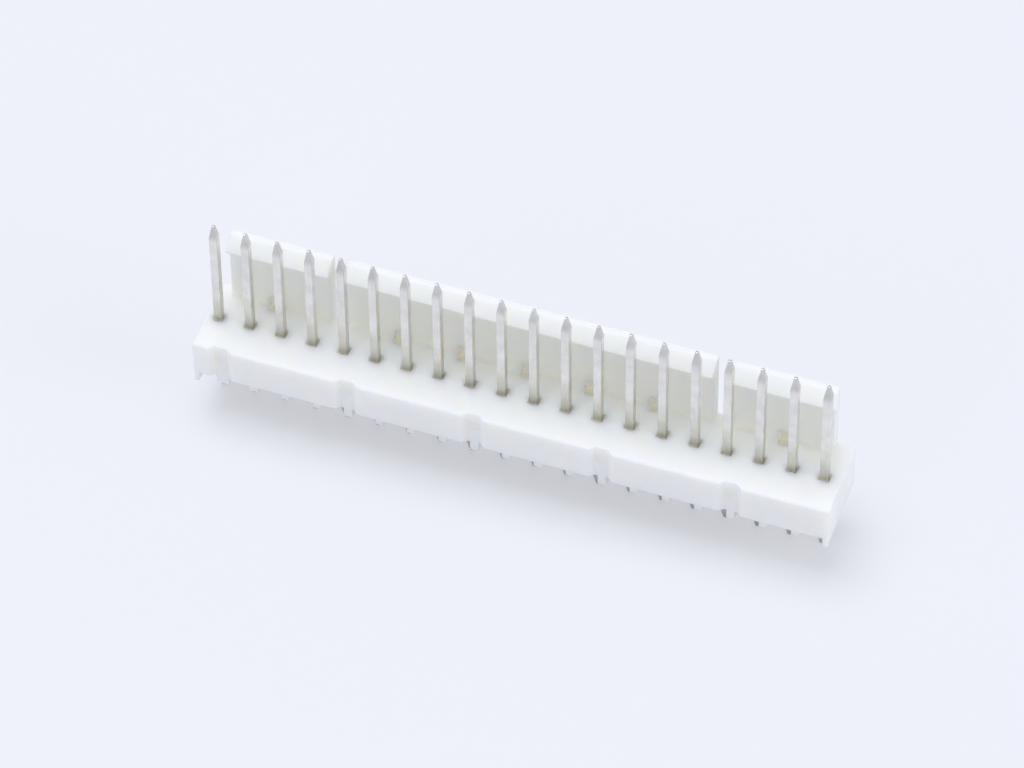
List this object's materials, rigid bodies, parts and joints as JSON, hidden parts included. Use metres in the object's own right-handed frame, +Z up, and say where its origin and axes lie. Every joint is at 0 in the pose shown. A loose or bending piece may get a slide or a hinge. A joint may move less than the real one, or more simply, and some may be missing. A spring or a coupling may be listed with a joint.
{
  "type": "pin header strip",
  "caption": "Upright single-row pin header strip: square tapered pins pressed through an ivory moulded base with a slit friction-lock wall behind them.",
  "frame": {"origin": "middle of the strip on the pin row, at the underside of the standoff ribs, where the board's face is", "axes": "+X along the row of pins, to the right when the lock wall is behind them; +Y towards the lock wall; +Z up, towards the mating ends of the pins"},
  "size_m": [0.0506, 0.0067, 0.0178],
  "materials": {
    "housing": "fine satin moulded plastic, ivory white",
    "pin": "bright tin plate on drawn square wire"
  },
  "bodies": {
    "root": {"housing": "housing", "pin_01": "pin", "pin_02": "pin", "pin_03": "pin", "pin_04": "pin", "pin_05": "pin", "pin_06": "pin", "pin_07": "pin", "pin_08": "pin", "pin_09": "pin", "pin_10": "pin", "pin_11": "pin", "pin_12": "pin", "pin_13": "pin", "pin_14": "pin", "pin_15": "pin", "pin_16": "pin", "pin_17": "pin", "pin_18": "pin", "pin_19": "pin", "pin_20": "pin"}
  },
  "joints": []
}
